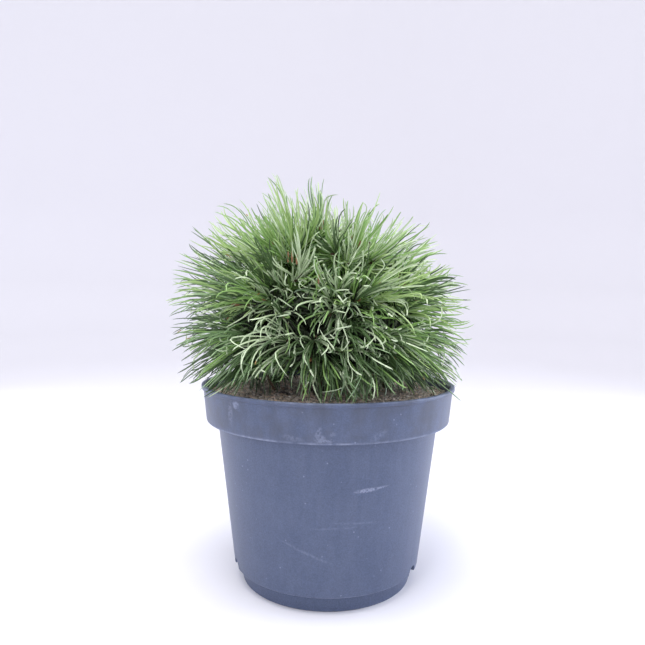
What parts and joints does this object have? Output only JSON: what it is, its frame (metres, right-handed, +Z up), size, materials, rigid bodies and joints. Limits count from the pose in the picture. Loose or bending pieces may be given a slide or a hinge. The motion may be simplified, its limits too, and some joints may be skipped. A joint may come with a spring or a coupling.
{
  "type": "potted dwarf mugo pine",
  "caption": "Dwarf mugo pine with a dense round head of long needles on a short hidden trunk, growing in soil in a round tapered nursery pot.",
  "frame": {"origin": "middle of the pot's flat underside, where it stands on the ground", "axes": "+Z up along the pot's axis, -Y towards the viewer of the picture, +X to the viewer's right"},
  "size_m": [0.2991, 0.2964, 0.4078],
  "materials": {
    "pot": "moulded grey polypropylene, satin, lightly scuffed and dusty",
    "soil": "dry crumbs of peat and bark",
    "bark": "scaly grey-brown bark",
    "needles": "waxy green needles"
  },
  "bodies": {
    "root": {"pot": "pot", "soil": "soil", "trunk": "bark", "bough_low_1": "bark", "bough_low_2": "bark", "bough_low_3": "bark", "bough_low_4": "bark", "bough_low_5": "bark", "bough_low_6": "bark", "bough_low_7": "bark", "bough_middle_1": "bark", "bough_middle_2": "bark", "bough_middle_3": "bark", "bough_middle_4": "bark", "bough_middle_5": "bark", "bough_middle_6": "bark", "bough_middle_7": "bark", "bough_high_1": "bark", "bough_high_2": "bark", "bough_high_3": "bark", "bough_high_4": "bark", "bough_high_5": "bark", "foliage_top": "needles", "foliage_low_1": "needles", "foliage_low_2": "needles", "foliage_low_3": "needles", "foliage_low_4": "needles", "foliage_low_5": "needles", "foliage_low_6": "needles", "foliage_low_7": "needles", "foliage_middle_1": "needles", "foliage_middle_2": "needles", "foliage_middle_3": "needles", "foliage_middle_4": "needles", "foliage_middle_5": "needles", "foliage_middle_6": "needles", "foliage_middle_7": "needles", "foliage_high_1": "needles", "foliage_high_2": "needles", "foliage_high_3": "needles", "foliage_high_4": "needles", "foliage_high_5": "needles"}
  },
  "joints": []
}
